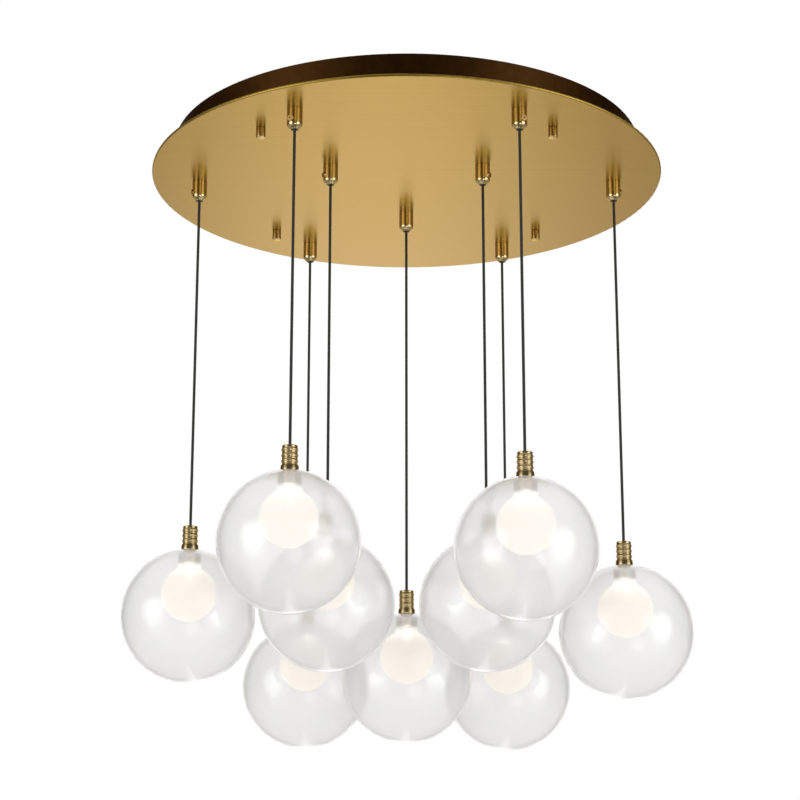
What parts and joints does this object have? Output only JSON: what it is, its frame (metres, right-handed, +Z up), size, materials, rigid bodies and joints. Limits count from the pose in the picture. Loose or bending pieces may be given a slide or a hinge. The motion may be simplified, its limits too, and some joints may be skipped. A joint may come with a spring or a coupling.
{
  "type": "cluster pendant",
  "caption": "Ceiling lamp: a round brass canopy from which clear globes with frosted globes inside hang in a cluster on thin cords.",
  "frame": {"origin": "the middle of the canopy in the ceiling's plane, at the centre of the bracket's ceiling screws", "axes": "+Z up into the ceiling, +X to the right, +Y away from the viewer of the front"},
  "size_m": [0.64, 0.6, 0.687],
  "materials": {
    "brushed_brass": "brushed in straight lines",
    "dark_brass": "dark satin",
    "polished_brass": "polished",
    "satin_brass": "satin",
    "aged_brass": "aged, satin",
    "zinc_steel": "zinc plated",
    "white_plastic": "moulded",
    "black_cord": "smooth, matt",
    "lampholder_ceramic": "unglazed",
    "frosted_glass": "sand-blasted",
    "clear_glass": "blown, clear"
  },
  "bodies": {
    "canopy": {"face_disc": "brushed_brass", "canopy_drum": "dark_brass", "ceiling_bracket": "zinc_steel", "bracket_studs": "zinc_steel", "cap_nuts": "polished_brass", "cord_grips": "polished_brass", "grip_set_screws": "satin_brass", "grip_locknuts": "zinc_steel", "terminal_block": "white_plastic", "terminal_screws": "zinc_steel", "block_screws": "zinc_steel", "earth_screw": "satin_brass", "transformer": "white_plastic", "canopy_leads": "black_cord"},
    "pendant_1": {"cord_1": "black_cord"},
    "shade_1": {"cap_1": "aged_brass", "lampholder_1": "lampholder_ceramic", "inner_globe_1": "frosted_glass", "outer_globe_1": "clear_glass"},
    "pendant_2": {"cord_2": "black_cord"},
    "shade_2": {"cap_2": "aged_brass", "lampholder_2": "lampholder_ceramic", "inner_globe_2": "frosted_glass", "outer_globe_2": "clear_glass"},
    "pendant_3": {"cord_3": "black_cord"},
    "shade_3": {"cap_3": "aged_brass", "lampholder_3": "lampholder_ceramic", "inner_globe_3": "frosted_glass", "outer_globe_3": "clear_glass"},
    "pendant_4": {"cord_4": "black_cord"},
    "shade_4": {"cap_4": "aged_brass", "lampholder_4": "lampholder_ceramic", "inner_globe_4": "frosted_glass", "outer_globe_4": "clear_glass"},
    "pendant_5": {"cord_5": "black_cord"},
    "shade_5": {"cap_5": "aged_brass", "lampholder_5": "lampholder_ceramic", "inner_globe_5": "frosted_glass", "outer_globe_5": "clear_glass"},
    "pendant_6": {"cord_6": "black_cord"},
    "shade_6": {"cap_6": "aged_brass", "lampholder_6": "lampholder_ceramic", "inner_globe_6": "frosted_glass", "outer_globe_6": "clear_glass"},
    "pendant_7": {"cord_7": "black_cord"},
    "shade_7": {"cap_7": "aged_brass", "lampholder_7": "lampholder_ceramic", "inner_globe_7": "frosted_glass", "outer_globe_7": "clear_glass"},
    "pendant_8": {"cord_8": "black_cord"},
    "shade_8": {"cap_8": "aged_brass", "lampholder_8": "lampholder_ceramic", "inner_globe_8": "frosted_glass", "outer_globe_8": "clear_glass"},
    "pendant_9": {"cord_9": "black_cord"},
    "shade_9": {"cap_9": "aged_brass", "lampholder_9": "lampholder_ceramic", "inner_globe_9": "frosted_glass", "outer_globe_9": "clear_glass"}
  },
  "joints": [
    {"name": "pendant_1_swing", "type": "hinge", "parent": "canopy", "child": "pendant_1", "pos_m": [0.245, 0, -0.0615], "axis": [0, -1, 0], "range_deg": [-1.5, 30]},
    {"name": "shade_1_turn", "type": "hinge", "parent": "pendant_1", "child": "shade_1", "pos_m": [0.245, 0, -0.4743], "axis": [0, 0, 1], "range_deg": [-180, 180]},
    {"name": "pendant_2_swing", "type": "hinge", "parent": "canopy", "child": "pendant_2", "pos_m": [0.1225, 0.21218, -0.0615], "axis": [0.866, -0.5, 0], "range_deg": [-1.5, 30]},
    {"name": "shade_2_turn", "type": "hinge", "parent": "pendant_2", "child": "shade_2", "pos_m": [0.1225, 0.21218, -0.5053], "axis": [0, 0, 1], "range_deg": [-180, 180]},
    {"name": "pendant_3_swing", "type": "hinge", "parent": "canopy", "child": "pendant_3", "pos_m": [-0.1225, 0.21218, -0.0615], "axis": [0.866, 0.5, 0], "range_deg": [-1.5, 30]},
    {"name": "shade_3_turn", "type": "hinge", "parent": "pendant_3", "child": "shade_3", "pos_m": [-0.1225, 0.21218, -0.5023], "axis": [0, 0, 1], "range_deg": [-180, 180]},
    {"name": "pendant_4_swing", "type": "hinge", "parent": "canopy", "child": "pendant_4", "pos_m": [-0.245, 0, -0.0615], "axis": [0, 1, 0], "range_deg": [-1.5, 30]},
    {"name": "shade_4_turn", "type": "hinge", "parent": "pendant_4", "child": "shade_4", "pos_m": [-0.245, 0, -0.4563], "axis": [0, 0, 1], "range_deg": [-180, 180]},
    {"name": "pendant_5_swing", "type": "hinge", "parent": "canopy", "child": "pendant_5", "pos_m": [-0.1225, -0.21218, -0.0615], "axis": [-0.866, 0.5, 0], "range_deg": [-1.5, 30]},
    {"name": "shade_5_turn", "type": "hinge", "parent": "pendant_5", "child": "shade_5", "pos_m": [-0.1225, -0.21218, -0.4183], "axis": [0, 0, 1], "range_deg": [-180, 180]},
    {"name": "pendant_6_swing", "type": "hinge", "parent": "canopy", "child": "pendant_6", "pos_m": [0.1225, -0.21218, -0.0615], "axis": [-0.866, -0.5, 0], "range_deg": [-1.5, 30]},
    {"name": "shade_6_turn", "type": "hinge", "parent": "pendant_6", "child": "shade_6", "pos_m": [0.1225, -0.21218, -0.4253], "axis": [0, 0, 1], "range_deg": [-180, 180]},
    {"name": "pendant_7_swing", "type": "hinge", "parent": "canopy", "child": "pendant_7", "pos_m": [0, 0.102, -0.0615], "axis": [1, 0, 0], "range_deg": [-1.5, 2]},
    {"name": "shade_7_turn", "type": "hinge", "parent": "pendant_7", "child": "shade_7", "pos_m": [0, 0.102, -0.5103], "axis": [0, 0, 1], "range_deg": [-180, 180]},
    {"name": "pendant_8_swing", "type": "hinge", "parent": "canopy", "child": "pendant_8", "pos_m": [-0.08833, -0.051, -0.0615], "axis": [-0.5, 0.866, 0], "range_deg": [-1.5, 2]},
    {"name": "shade_8_turn", "type": "hinge", "parent": "pendant_8", "child": "shade_8", "pos_m": [-0.08833, -0.051, -0.4523], "axis": [0, 0, 1], "range_deg": [-180, 180]},
    {"name": "pendant_9_swing", "type": "hinge", "parent": "canopy", "child": "pendant_9", "pos_m": [0.08833, -0.051, -0.0615], "axis": [-0.5, -0.866, 0], "range_deg": [-1.5, 2]},
    {"name": "shade_9_turn", "type": "hinge", "parent": "pendant_9", "child": "shade_9", "pos_m": [0.08833, -0.051, -0.4523], "axis": [0, 0, 1], "range_deg": [-180, 180]}
  ]
}
